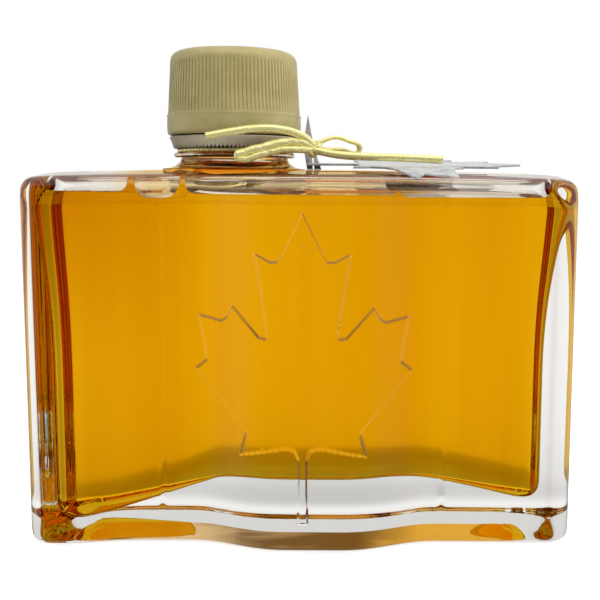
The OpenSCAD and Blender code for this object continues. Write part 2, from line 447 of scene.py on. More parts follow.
class Paint:
    """A material under construction, with short ways to add and join its nodes."""

    def __init__(self, name: str) -> None:
        """Starts a node material with only its output."""
        self.material = bpy.data.materials.new(name)
        self.material.use_nodes = True
        self.tree = self.material.node_tree
        self.tree.nodes.clear()
        self.output = self.tree.nodes.new("ShaderNodeOutputMaterial")

    def add(self, kind: str, **values: object) -> bpy.types.Node:
        """Adds a node and sets its properties, or its sockets where a name is a socket's.

        Args:
            kind: the node type's name after "ShaderNode".
            values: property names, or socket names with spaces as underscores.

        Returns:
            The node.
        """
        node = self.tree.nodes.new("ShaderNode" + kind)
        sockets = {s.name.replace(" ", "_"): s for s in node.inputs if s.enabled}
        for key, value in values.items():
            if key in sockets:
                sockets[key].default_value = value
            else:
                setattr(node, key, value)
        return node

    def join(self, a: bpy.types.NodeSocket, b: bpy.types.NodeSocket) -> None:
        """Links an output to an input."""
        self.tree.links.new(a, b)

    def surface(self, shader: bpy.types.Node) -> None:
        """Sends a shader to the surface."""
        self.join(shader.outputs[0], self.output.inputs["Surface"])

    def place(self, scale: Point = (1, 1, 1)) -> bpy.types.NodeSocket:
        """Object coordinates, scaled.

        Args:
            scale: the factor along each axis.

        Returns:
            The socket of the scaled place.
        """
        where = self.add("TexCoord")
        mapping = self.add("Mapping")
        mapping.inputs["Scale"].default_value = scale
        self.join(where.outputs["Object"], mapping.inputs["Vector"])
        return mapping.outputs["Vector"]

    def axes(self) -> bpy.types.Node:
        """Object coordinates, split into X, Y and Z.

        Returns:
            The node, with one output for each axis.
        """
        split = self.add("SeparateXYZ")
        self.join(self.place(), split.inputs[0])
        return split

    def noise(self, scale: float, detail: float = 3.0, stretch: Point = (1, 1, 1)) -> bpy.types.Node:
        """Noise on object coordinates.

        Args:
            scale: its fineness per metre.
            detail: how many finer layers it has.
            stretch: factor of its fineness along each axis.

        Returns:
            The node, whose first output is its value.
        """
        node = self.add("TexNoise", Scale=scale, Detail=detail)
        self.join(self.place(stretch), node.inputs["Vector"])
        return node

    def bump(
        self, height: bpy.types.NodeSocket, distance: float, strength: float = 1.0
    ) -> bpy.types.NodeSocket:
        """A bump node fed by a height, with its depth in metres.

        Args:
            height: the socket that gives the height, from 0 to 1.
            distance: the depth of the relief.
            strength: how much of it shows.

        Returns:
            The bump's normal socket.
        """
        node = self.add("Bump", Strength=strength, Distance=distance)
        self.join(height, node.inputs["Height"])
        return node.outputs["Normal"]

    def between(
        self, factor: bpy.types.NodeSocket, a: Sequence[float], b: Sequence[float]
    ) -> bpy.types.NodeSocket:
        """A colour between two, by a factor.

        Args:
            factor: the socket that gives the share of the second colour.
            a: the first colour, red, green and blue.
            b: the second colour.

        Returns:
            The colour socket.
        """
        node = self.add("Mix", data_type="RGBA")
        colours = [s for s in node.inputs if s.type == "RGBA"]
        colours[0].default_value = (*a, 1)
        colours[1].default_value = (*b, 1)
        self.join(factor, node.inputs[0])
        return next(s for s in node.outputs if s.type == "RGBA")

    def product(self, *factors: bpy.types.NodeSocket) -> bpy.types.NodeSocket:
        """Multiplies values.

        Args:
            factors: the sockets to multiply.

        Returns:
            The result's socket.
        """
        result = factors[0]
        for factor in factors[1:]:
            node = self.add("Math", operation="MULTIPLY")
            self.join(result, node.inputs[0])
            self.join(factor, node.inputs[1])
            result = node.outputs[0]
        return result

    def spread(
        self, source: bpy.types.NodeSocket, low: float, high: float, to: Ring = (0, 1)
    ) -> bpy.types.NodeSocket:
        """Maps a range of a value to another, clamped.

        Args:
            source: the value's socket.
            low: the value that gives the first end.
            high: the value that gives the second end.
            to: both ends of the result.

        Returns:
            The result's socket.
        """
        node = self.add("MapRange")
        for socket, value in zip(node.inputs[1:5], (low, high, *to)):
            socket.default_value = value
        self.join(source, node.inputs[0])
        return node.outputs[0]


@dataclass(frozen=True)
class ClearGlass:
    """Moulded clear glass with the faint ripple that a mould leaves.

    The rounded top edge of the shoulders is painted warm amber: a painted glow that stands in for the
    syrup's light seen through the glass, fading towards both ends.
    """

    ior: float = 1.52
    ripple: float = 0.00002
    clear: tuple[float, float, float] = (0.985, 0.982, 0.965)
    painted_syrup_glow: tuple[float, float, float] = (0.95, 0.72, 0.32)
    edge_from: Ring = (80.3 * MM, 82.2 * MM)
    edge_to: Ring = (84.5 * MM, 83 * MM)
    right_end: Ring = (30 * MM, 16 * MM)
    left_end: Ring = (-44 * MM, -34 * MM)

    def make(self) -> bpy.types.Material:
        """Builds the material.

        Returns:
            The material.
        """
        paint = Paint("clear_glass")
        glass = paint.add("BsdfGlass", Roughness=0.0, IOR=self.ior)
        place = paint.axes()
        # painted glow mask: a band along the rounded top edge, fading towards both ends
        share = paint.product(
            paint.spread(place.outputs["Z"], *self.edge_from),
            paint.spread(place.outputs["Z"], *self.edge_to, (0.12, 1)),
            paint.spread(place.outputs["X"], *self.right_end, (0.08, 1)),
            paint.spread(place.outputs["X"], *self.left_end, (0.1, 1)),
        )
        paint.join(paint.between(share, self.clear, self.painted_syrup_glow), glass.inputs["Color"])
        ripple = paint.noise(90, 2, (1, 1, 0.5))
        paint.join(paint.bump(ripple.outputs[0], self.ripple), glass.inputs["Normal"])
        paint.surface(glass)
        return paint.material


@dataclass(frozen=True)
class BaseGlass:
    """Glass of the recess under the base, tinted amber with a darker streaky middle: a painted caustic
    that stands in for the syrup-lit light in the heel.
    """

    ior: float = 1.52
    left: tuple[float, float, float] = (0.9, 0.62, 0.3)
    painted_dark_middle: tuple[float, float, float] = (0.2, 0.15, 0.1)
    right: tuple[float, float, float] = (0.95, 0.5, 0.06)
    change: Ring = (-10 * MM, 20 * MM)
    hump_reach: Ring = (26 * MM, 12 * MM)

    def make(self) -> bpy.types.Material:
        """Builds the material.

        Returns:
            The material.
        """
        paint = Paint("base_glass")
        glass = paint.add("BsdfGlass", Roughness=0.0, IOR=self.ior)
        across = paint.axes().outputs["X"]
        # painted caustic: amber changing from the left end to the right end
        ends = paint.between(paint.spread(across, *self.change), self.left, self.right)
        away = paint.add("Math", operation="ABSOLUTE")
        paint.join(across, away.inputs[0])
        wavy = paint.noise(1, 3, (40, 200, 400))
        share = paint.product(
            paint.spread(away.outputs[0], *self.hump_reach, (0.12, 0.8)),
            paint.spread(wavy.outputs[0], 0.35, 0.6, (0.5, 1.2)),
        )
        # painted shade: a darker, streaky middle of the painted caustic
        tint = paint.between(share, (1, 1, 1), self.painted_dark_middle)
        both = paint.add("Mix", data_type="RGBA", blend_type="MULTIPLY")
        colours = [s for s in both.inputs if s.type == "RGBA"]
        both.inputs[0].default_value = 1.0
        paint.join(ends, colours[0])
        paint.join(tint, colours[1])
        paint.join(next(s for s in both.outputs if s.type == "RGBA"), glass.inputs["Color"])
        paint.surface(glass)
        return paint.material


@dataclass(frozen=True)
class WetGlass:
    """Glass where syrup wets it: it mirrors only at a glancing angle."""

    ior: float = 1.52

    def make(self) -> bpy.types.Material:
        """Builds the material.

        Returns:
            The material.
        """
        paint = Paint("wet_glass")
        through = paint.add("BsdfRefraction", Roughness=0.0, IOR=self.ior)
        mirror = paint.add("BsdfAnisotropic", Roughness=0.0)
        fresnel = paint.add("Fresnel", IOR=self.ior)
        mix = paint.add("MixShader")
        paint.join(paint.spread(fresnel.outputs[0], 0.5, 0.95), mix.inputs[0])
        paint.join(through.outputs[0], mix.inputs[1])
        paint.join(mirror.outputs[0], mix.inputs[2])
        paint.surface(mix)
        return paint.material


@dataclass(frozen=True)
class AmberSyrup:
    """Clear amber syrup, slightly deeper towards the upper left.

    Half of its colour lies in its skin and half in its depth, so that long ways through the
    ends stay amber.
    """

    ior: float = 1.455
    density: float = 90.0
    colour: tuple[float, float, float] = (0.985, 0.868, 0.04)
    skin: tuple[float, float, float] = (0.974, 0.788, 0.18)
    deep: tuple[float, float, float] = (0.86, 0.72, 0.5)
    leftwards: Ring = (-20 * MM, -60 * MM)
    upwards: Ring = (40 * MM, 78 * MM)

    def make(self, free: bool) -> bpy.types.Material:
        """Builds the material.

        Args:
            free: whether it is for the free surface, which mirrors, or for the wetted wall.

        Returns:
            The material.
        """
        paint = Paint("syrup_surface" if free else "amber_syrup")
        kind = "BsdfGlass" if free else "BsdfRefraction"
        liquid = paint.add(kind, Roughness=0.0, IOR=self.ior)
        streaks = paint.noise(1.0, 3, (75, 12, 4))
        place = paint.axes()
        corner = paint.product(
            paint.spread(place.outputs["X"], *self.leftwards, (0, 0.8)),
            paint.spread(place.outputs["Z"], *self.upwards, (0.1, 1)),
        )
        share = paint.add("Math", operation="ADD")
        paint.join(corner, share.inputs[0])
        paint.join(paint.spread(streaks.outputs[0], 0.3, 0.75, (0, 0.5)), share.inputs[1])
        shallow = (1.0, 1.0, 1.0) if free else self.skin
        deep = [a * b for a, b in zip(shallow, self.deep)]
        tint = paint.between(share.outputs[0], shallow, deep)
        paint.join(tint, liquid.inputs["Color"])
        paint.surface(liquid)
        soak = paint.add("VolumeAbsorption", Color=(*self.colour, 1), Density=self.density)
        paint.join(soak.outputs[0], paint.output.inputs["Volume"])
        return paint.material


@dataclass(frozen=True)
class SatinPlastic:
    """Moulded plastic with a metal-like satin finish and slight mottling."""

    name: str
    base: tuple[float, float, float]
    worn: tuple[float, float, float]
    roughness: float = 0.38
    metallic: float = 0.35

    def make(self) -> bpy.types.Material:
        """Builds the material.

        Returns:
            The material.
        """
        paint = Paint(self.name)
        skin = paint.add("BsdfPrincipled", Metallic=self.metallic)
        mottle = paint.noise(260, 4)
        tint = paint.between(paint.spread(mottle.outputs[0], 0.35, 0.7), self.base, self.worn)
        paint.join(tint, skin.inputs["Base Color"])
        fine = paint.noise(900, 3)
        rough = paint.spread(fine.outputs[0], 0.3, 0.7, (self.roughness - 0.05, self.roughness + 0.07))
        paint.join(rough, skin.inputs["Roughness"])
        paint.join(paint.bump(fine.outputs[0], 0.00001), skin.inputs["Normal"])
        paint.surface(skin)
        return paint.material


@dataclass(frozen=True)
class SilverCard:
    """Coated card with a silver shine, faint rubbing and soft creases."""

    def make(self) -> bpy.types.Material:
        """Builds the material.

        Returns:
            The material.
        """
        paint = Paint("silver_card")
        skin = paint.add("BsdfPrincipled", Metallic=0.35)
        rub = paint.noise(300, 4, (1, 2, 1))
        worn = paint.spread(rub.outputs[0], 0.35, 0.7)
        tint = paint.between(worn, (0.34, 0.355, 0.36), (0.62, 0.62, 0.59))
        paint.join(tint, skin.inputs["Base Color"])
        rough = paint.spread(rub.outputs[0], 0.3, 0.75, (0.2, 0.4))
        paint.join(rough, skin.inputs["Roughness"])
        crease = paint.noise(110, 2)
        paint.join(paint.bump(crease.outputs[0], 0.0003), skin.inputs["Normal"])
        paint.surface(skin)
        return paint.material


@dataclass(frozen=True)
class GoldElastic:
    """Elastic covered with bright metallic gold yarn."""

    def make(self) -> bpy.types.Material:
        """Builds the material.

        Returns:
            The material.
        """
        paint = Paint("gold_elastic")
        skin = paint.add("BsdfPrincipled", Metallic=0.6)
        yarn = paint.noise(1400, 3)
        tint = paint.between(paint.spread(yarn.outputs[0], 0.3, 0.7), (0.95, 0.85, 0.3), (1.0, 0.95, 0.5))
        paint.join(tint, skin.inputs["Base Color"])
        paint.join(paint.spread(yarn.outputs[0], 0.3, 0.7, (0.3, 0.22)), skin.inputs["Roughness"])
        paint.join(paint.bump(yarn.outputs[0], 0.00002), skin.inputs["Normal"])
        paint.surface(skin)
        return paint.material


def coat(
    piece: bpy.types.Object,
    finishes: Sequence[bpy.types.Material],
    choose: Callable[[Vector], int] = lambda middle: 0,
) -> None:
    """Gives a mesh its material slots, and each face one of them.

    Args:
        piece: the mesh.
        finishes: its materials, in the order that its faces count them.
        choose: gives the number of a face's material from the face's middle.
    """
    for finish in finishes:
        piece.data.materials.append(finish)
    for face in piece.data.polygons:
        face.material_index = choose(face.center)


def show(
    piece: bpy.types.Object, finishes: Sequence[bpy.types.Material], node: str
) -> None:
    """Dresses a finished piece and hands it to the frame.

    Args:
        piece: the finished mesh.
        finishes: its materials, in the order that its faces count them.
        node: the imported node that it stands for.
    """
    while len(piece.data.materials) < len(finishes):
        piece.data.materials.append(None)
    for i, finish in enumerate(finishes):
        piece.data.materials[i] = finish
    piece.visible_shadow = node not in ("bottle", "syrup")
    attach(piece, "root")
    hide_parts(node)
    faces = len(piece.data.polygons)
    LOG.info("%s: %d faces, stands for %s", piece.name, faces, node)


@dataclass
class GlassBottle:
    """The glass: a waved slab with a leaf in relief, a neck and an arched cavity."""

    body: Body
    leaf: LeafShape
    finish: ClearGlass = field(default_factory=ClearGlass)
    corner: float = 6 * MM
    slim: float = 0.6 * MM
    face_wall: float = 4 * MM
    left_wall: float = 6 * MM
    right_wall: float = 7.2 * MM
    roof: float = 80.6 * MM
    bore: float = 9.8 * MM
    lip: float = 106.5 * MM
    bead: Ring = (85.4 * MM, 86.5 * MM)
    bead_out: float = 1.6 * MM
    flare: float = 4.2 * MM
    relief: float = 0.5 * MM
    relief_edge: float = 0.6 * MM
    leaf_x: float = 0.9 * MM
    leaf_foot: float = 6.5 * MM
    leaf_top: float = 74.3 * MM
    leaf_width: float = 47.5 * MM
    panel_lines: Ring = (-30.4 * MM, 31.2 * MM)
    panel_depth: float = 0.3 * MM
    dome: float = 1.2 * MM
    wet_level: float = 75 * MM
    taper: Ring = (2.2 * MM, 3.2 * MM)
    taper_len: float = 34 * MM
    taper_top: float = 78 * MM
    stand_rim: float = 3.5 * MM
    recess_slope: float = 9 * MM
    recess_depth: float = 2 * MM
    # half width of the recess border that carries the painted caustic
    painted_caustic_half: float = 47 * MM
    end_round: float = 7 * MM
    roof_round: float = 6 * MM
    floor_round: float = 3.5 * MM
    arch: Ring = (44 * MM, 38 * MM)

    def slab(self) -> bpy.types.Object:
        """Shapes the outer slab, with its edges rounded and both faces waved.

        Returns:
            The slab as a closed solid.
        """
        b = self.body
        side = b.width / 2 - self.slim
        piece = block("glass_bottle", (-side, -b.depth / 2, 0), (side, b.depth / 2, b.height))
        half = b.height / 2
        rim = b.height - 6 * MM
        with Bench(piece) as bench:
            bench.pick(lambda p: abs(p.z - half) < MM and abs(p.x) > b.width / 2 - MM, Kind.EDGE)
            bench.bevel(self.corner, 5)
            bench.pick(lambda p: p.z > b.height - MM, Kind.EDGE)
            bench.bevel(b.top_round, 3)
            bench.pick(lambda p: p.z < MM, Kind.EDGE)
            bench.bevel(b.bottom_round, 3)
            ends = [-51, -47, -42, -38, -34, 35, 39, 43, 47, 51]
            beside_lines = [x / MM + s for x in self.panel_lines for s in (-2, -1, 0, 1, 2)]
            middle = [-26.5 + 2.4 * i for i in range(23)]
            rows = [6 + 3.1 * i for i in range(23)]
            bench.cut(0, [x * MM for x in ends + beside_lines + middle])
            bench.cut(2, [z * MM for z in rows])
            bench.cut(1, [y * MM for y in (-14, -10, -5, 0, 5, 10, 14)])
        push(piece, "Z", -self.dome, lambda p: ramp(abs(p.y) * 2 / b.depth) * (p.z > rim))
        b.bend(piece)
        finish_with(piece, "SUBSURF", levels=2, render_levels=2)
        return piece

    def emboss(self, piece: bpy.types.Object) -> None:
        """Raises the leaf and sinks the panel lines on the front face.

        Args:
            piece: the slab.
        """
        height = self.leaf_top - self.leaf_foot

        def inside(points: Iterable[Vector]) -> np.ndarray:
            """Depth inside the leaf's outline for points of the front face.

            Args:
                points: the places to test.

            Returns:
                One depth for each point, in metres.
            """
            flat = np.array([(p.x - self.leaf_x, p.z - self.leaf_foot) for p in points])
            return self.leaf.depth_inside(flat, self.leaf_width, height)

        with Bench(piece) as bench:
            mesh = bmesh.from_edit_mesh(piece.data)
            front = [f for f in mesh.faces if f.normal.y < -0.7]
            depth = inside([f.calc_center_median() for f in front])
            outer, inner = -0.6 * MM, self.relief_edge + 0.5 * MM
            near = {f.index for f, d in zip(front, depth) if outer < d < inner}
            bpy.ops.mesh.select_all(action="DESELECT")
            for f in mesh.faces:
                f.select_set(f.index in near)
            bmesh.update_edit_mesh(piece.data)
            bpy.ops.mesh.subdivide(number_cuts=2, smoothness=1.0)
        points = [v.co.copy() for v in piece.data.vertices]
        depth = inside(points)
        shares = {}
        for p, d in zip(points, depth):
            if p.y < -0.01 and d > 0:
                shares[tuple(p)] = ramp(d / self.relief_edge)
        push(piece, "Y", -self.relief, lambda p: shares.get(tuple(p), 0.0))

        def groove(p: Vector) -> float:
            """Share of the panel line's depth at a point of the front face.

            Args:
                p: the point.

            Returns:
                The share, from 0 to 1.
            """
            if p.y > -0.01:
                return 0.0
            (foot, foot_fade), (top, top_fade), half_width = (8, 6), (76, 4), 1.3
            up = p.z / MM
            ends = ramp((up - foot) / foot_fade) * ramp((top - up) / top_fade)
            away = min(abs(p.x - x) for x in self.panel_lines) / MM
            return ends * ramp(1 - away / half_width)

        push(piece, "Y", self.panel_depth, groove)

    def cavity(self, swell: float = 0.0) -> bpy.types.Object:
        """Shapes the hollow for the syrup, with its arched floor.

        Args:
            swell: how far it reaches into the wall all round.

        Returns:
            The hollow as a closed solid.
        """
        b = self.body
        low = (-b.width / 2 + self.left_wall - self.taper[0], self.face_wall - b.depth / 2, 0)
        high = (b.width / 2 - self.right_wall + self.taper[1], b.depth / 2 - self.face_wall, self.roof)
        piece = block("cavity", low, high)
        with Bench(piece) as bench:
            bench.pick(lambda p: abs(p.z - self.roof / 2) < MM and abs(p.y) > 0.01, Kind.EDGE)
            bench.bevel(self.end_round, 5)
            bench.pick(lambda p: p.z > self.roof - MM, Kind.EDGE)
            bench.bevel(self.roof_round, 5)
            bench.pick(lambda p: p.z < MM, Kind.EDGE)
            bench.bevel(self.floor_round, 3)
            bench.cut(0, [x * MM for x in range(-46, 47, 4)])
            bench.cut(2, [z * MM for z in (6, 14, 24, 34, 44, 54, 64, 74)])
            bench.cut(1, [-6 * MM, 6 * MM])
        top, length = self.arch
        push(piece, "Z", b.floor_mid, lambda p: b.floor(p.x) / b.floor_mid * ramp((top - p.z) / length))
        side = 20 * MM

        def narrowing(p: Vector) -> float:
            """Share of the taper at a height, which grows downwards."""
            return ramp((self.taper_top - p.z) / self.taper_len)

        push(piece, "X", self.taper[0], lambda p: (p.x < -side) * narrowing(p))
        push(piece, "X", -self.taper[1], lambda p: (p.x > side) * narrowing(p))
        b.bend(piece)
        finish_with(piece, "SUBSURF", levels=2, render_levels=2)
        if swell:
            finish_with(piece, "DISPLACE", direction="NORMAL", strength=swell, mid_level=0.0)
        return piece

    def neck(self) -> bpy.types.Object:
        """Turns the neck, its bead and the flare down to the shoulders.

        Returns:
            The neck as a closed solid.
        """
        b = self.body
        r = b.neck_radius
        low, high = self.bead
        foot = b.height - 4 * MM
        start = b.height + 0.1 * MM
        flare = []
        for i in range(7):
            a = math.pi / 2 * (1 - i / 6)
            flare.append((r + self.flare * (1 - math.cos(a)), start + (low - start) * (1 - math.sin(a))))
        out, soft = r + self.bead_out, 0.35 * MM
        bead = [
            (out - soft, low),
            (out, low + soft),
            (out, high - soft),
            (out - soft, high),
            (r, high + 0.1 * MM),
            (r, self.lip - soft),
            (r - soft, self.lip),
        ]
        return turned("neck", [(r + self.flare, foot), *flare, *bead], 128, b.neck)

    def recess(self) -> bpy.types.Object:
        """Shapes the shallow hollow under the base, with its sloping border.

        Returns:
            The hollow as a closed solid.
        """
        b = self.body
        rim = self.stand_rim
        low = (rim - b.width / 2, rim - b.depth / 2, -MM)
        high = (b.width / 2 - rim, b.depth / 2 - rim, 0)
        piece = block("recess", low, high)
        with Bench(piece) as bench:
            bench.pick(lambda p: abs(p.y) > 0.01 and abs(p.x) > b.width / 2 - 0.01, Kind.EDGE)
            bench.bevel(b.corner - rim, 5)
            bench.pick(lambda p: p.z > -MM / 2)
            bpy.ops.mesh.extrude_region_move(TRANSFORM_OT_translate={"value": (0, 0, self.recess_depth)})
            wide = 1 - 2 * self.recess_slope / (high[0] - low[0])
            deep = 1 - 2 * self.recess_slope / (high[1] - low[1])
            bpy.ops.transform.resize(value=(wide, deep, 1), center_override=(0, 0, 0))
            bench.cut(0, [x * MM for x in range(-56, 57, 2)])
        push(piece, "Y", -b.fold_out, lambda p: b.wave(p.x) / b.fold_out)
        return piece

    def build(self) -> bpy.types.Object:
        """Makes the whole glass piece and dresses it.

        Returns:
            The finished piece.
        """
        piece = self.slab()
        self.emboss(piece)
        combine(piece, self.neck(), "UNION")
        hollow = self.cavity()
        bore = [(self.bore, self.roof - 4 * MM), (self.bore, self.lip + MM)]
        combine(hollow, turned("bore", bore, 96, self.body.neck), "UNION")
        finishes = [self.finish.make(), WetGlass().make(), BaseGlass().make()]
        coat(piece, finishes)
        coat(hollow, finishes, lambda p: int(p.z < self.wet_level))
        combine(piece, hollow, "DIFFERENCE")
        under = self.recess()
        level = 0.1 * MM

        def painted_caustic_slope(p: Vector) -> int:
            """Number of the finish at a place of the recess; the middle of its sloping border takes the
            glass with the painted caustic.

            Args:
                p: the middle of a face.

            Returns:
                The number.
            """
            slope = level < p.z < self.recess_depth - level
            return 2 if slope and abs(p.x) < self.painted_caustic_half else 0

        coat(under, finishes, painted_caustic_slope)
        combine(piece, under, "DIFFERENCE")
        smooth(piece)
        show(piece, finishes, "bottle")
        return piece


@dataclass
class SyrupFill:
    """The syrup, which reaches just into the glass, with air trapped under the shoulders."""

    bottle: GlassBottle
    finish: AmberSyrup = field(default_factory=AmberSyrup)
    reach: float = 0.15 * MM
    pockets: tuple[tuple[float, float, float, float], ...] = (
        (-56.0, -37.4, 77.7, 2.2),
        (-36.2, -26.2, 76.4, 3.4),
        (-25.2, 21.4, 77.3, 2.6),
        (19.6, 55.5, 76.9, 3.4),
    )

    def pocket(self, left: float, right: float, bottom: float, soft: float) -> bpy.types.Object:
        """An air pocket under the shoulders, from one side of the cavity to the other.

        Args:
            left: its left end.
            right: its right end.
            bottom: its lowest point.
            soft: rounding of its ends.

        Returns:
            The pocket as a closed solid.
        """
        piece = block("pocket", (left, -40 * MM, bottom), (right, 40 * MM, 95 * MM))
        with Bench(piece) as bench:
            bench.pick(lambda p: p.z < bottom + MM / 10 and abs(p.y) < MM, Kind.EDGE)
            bench.bevel(soft, 6)
        return piece

    def build(self) -> bpy.types.Object:
        """Makes the syrup and dresses it.

        Returns:
            The finished piece.
        """
        finishes = [self.finish.make(free=False), self.finish.make(free=True)]
        piece = self.bottle.cavity(self.reach)
        piece.name = piece.data.name = "syrup_fill"
        coat(piece, finishes)
        for left, right, bottom, soft in self.pockets:
            tool = self.pocket(left * MM, right * MM, bottom * MM, soft * MM)
            coat(tool, finishes, lambda middle: 1)
            combine(piece, tool, "DIFFERENCE")
        smooth(piece)
        show(piece, finishes, "syrup")
        return piece


@dataclass
class ScrewCap:
    """The knurled cap, drafted towards a rounded top."""

    body: Body
    finish: SatinPlastic = SatinPlastic("cap_gold", (0.40, 0.335, 0.14), (0.46, 0.39, 0.18))
    rim: float = 90.4 * MM
    top: float = 109 * MM
    band_radius: float = 15.2 * MM
    knurl_low: Ring = (14.95 * MM, 95.2 * MM)
    knurl_high: Ring = (14.3 * MM, 106.7 * MM)
    edge: float = 2.3 * MM
    inner: float = 13.5 * MM
    ribs: int = 104
    rib_depth: float = 0.28 * MM

    def profile(self) -> list[Ring]:
        """Rings from the middle of the top, down the outside and up the inside.

        Returns:
            (radius, height) of each ring.
        """
        r, z = self.knurl_high
        rounding = []
        for i in range(8):
            a = math.pi / 2 * (1 - i / 7)
            rounding.append((r - self.edge * (1 - math.cos(a)), z + self.edge * math.sin(a)))
        low_r, low_z = self.knurl_low
        fade = 0.5 * MM
        steps = [(low_r + (r - low_r) * t, low_z + (z - low_z) * t) for t in (0.95, 0.65, 0.35, 0.04)]
        band = self.band_radius
        return [
            (0.3 * MM, self.top),
            (6 * MM, self.top - 0.02 * MM),
            *rounding,
            *steps,
            (low_r, low_z),
            (low_r + 0.02 * MM, low_z - 0.15 * MM),
            (band + 0.02 * MM, low_z - 0.3 * MM),
            (band + 0.05 * MM, low_z - 0.55 * MM),
            (band - 0.06 * MM, low_z - 0.8 * MM),
            (band - 0.04 * MM, low_z - 1.1 * MM),
            (band, low_z - 2 * MM),
            (band, self.rim + 1.2 * MM),
            (band - 0.05 * MM, self.rim + fade),
            (band - 0.3 * MM, self.rim + 0.12 * MM),
            (band - 0.6 * MM, self.rim),
            (self.inner + 0.2 * MM, self.rim),
            (self.inner, self.rim + 0.3 * MM),
            (self.inner, self.top - 2.5 * MM),
            (0.3 * MM, self.top - 2.5 * MM),
        ]

    def build(self) -> bpy.types.Object:
        """Makes the cap and dresses it.

        Returns:
            The finished piece.
        """
        centre = self.body.neck
        piece = turned("screw_cap", self.profile(), self.ribs * 4, centre)
        pitch = 2 * math.pi / (self.ribs * 4)
        low, high = self.knurl_low[1] + 0.1 * MM, self.knurl_high[1] - 0.1 * MM

        def groove(p: Vector) -> bool:
            """Whether a point lies at the bottom of a groove between two ribs.

            Args:
                p: the point.

            Returns:
                True where it does.
            """
            if not low < p.z < high or math.hypot(p.x - centre[0], p.y - centre[1]) < 14 * MM:
                return False
            return round(math.atan2(p.y - centre[1], p.x - centre[0]) / pitch) % 4 == 0

        with Bench(piece) as bench:
            bench.pick(groove, Kind.POINT)
            scale = 1 - self.rib_depth / self.band_radius
            bpy.ops.transform.resize(value=(scale, scale, 1), center_override=(*centre, 0))
        smooth(piece, 50)
        show(piece, [self.finish.make()], "cap")
        return piece


@dataclass
class TamperRing:
    """The ring under the cap, with fine teeth along its lower edge."""

    body: Body
    # Paler, greyer gold than the cap's: a painted reflection of the white around it, on the same gold
    # plastic.
    finish: SatinPlastic = SatinPlastic("ring_gold", (0.39, 0.34, 0.24), (0.44, 0.39, 0.28), 0.5, 0.1)
    low: float = 87.5 * MM
    high: float = 90.1 * MM
    top_radius: float = 14.7 * MM
    foot_radius: float = 13.8 * MM
    inner: float = 13.4 * MM
    teeth: int = 96
    tooth: float = 0.45 * MM

    def build(self) -> bpy.types.Object:
        """Makes the ring and dresses it.

        Returns:
            The finished piece.
        """
        centre = self.body.neck
        profile = [
            (self.inner, self.high),
            (self.top_radius - 0.2 * MM, self.high),
            (self.top_radius, self.high - 0.2 * MM),
            (self.foot_radius + 0.3 * MM, self.low + 0.9 * MM),
            (self.foot_radius, self.low),
            (self.inner, self.low),
        ]
        piece = turned("tamper_ring_piece", profile, self.teeth * 4, centre)
        hole = [(self.inner - 0.05 * MM, self.low - MM), (self.inner - 0.05 * MM, self.high + MM)]
        pitch = 2 * math.pi / (self.teeth * 4)

        def gap(p: Vector) -> bool:
            """Whether a point of the lower edge lies between two teeth.

            Args:
                p: the point.

            Returns:
                True where it does.
            """
            if p.z > self.low + 0.05 * MM:
                return False
            return round(math.atan2(p.y - centre[1], p.x - centre[0]) / pitch) % 4 < 2

        with Bench(piece) as bench:
            bench.pick(gap, Kind.POINT)
            bpy.ops.transform.translate(value=(0, 0, self.tooth))
        combine(piece, turned("hole", hole, self.teeth * 4, centre), "DIFFERENCE")
        smooth(piece, 40)
        show(piece, [self.finish.make()], "tamper_ring")
        return piece


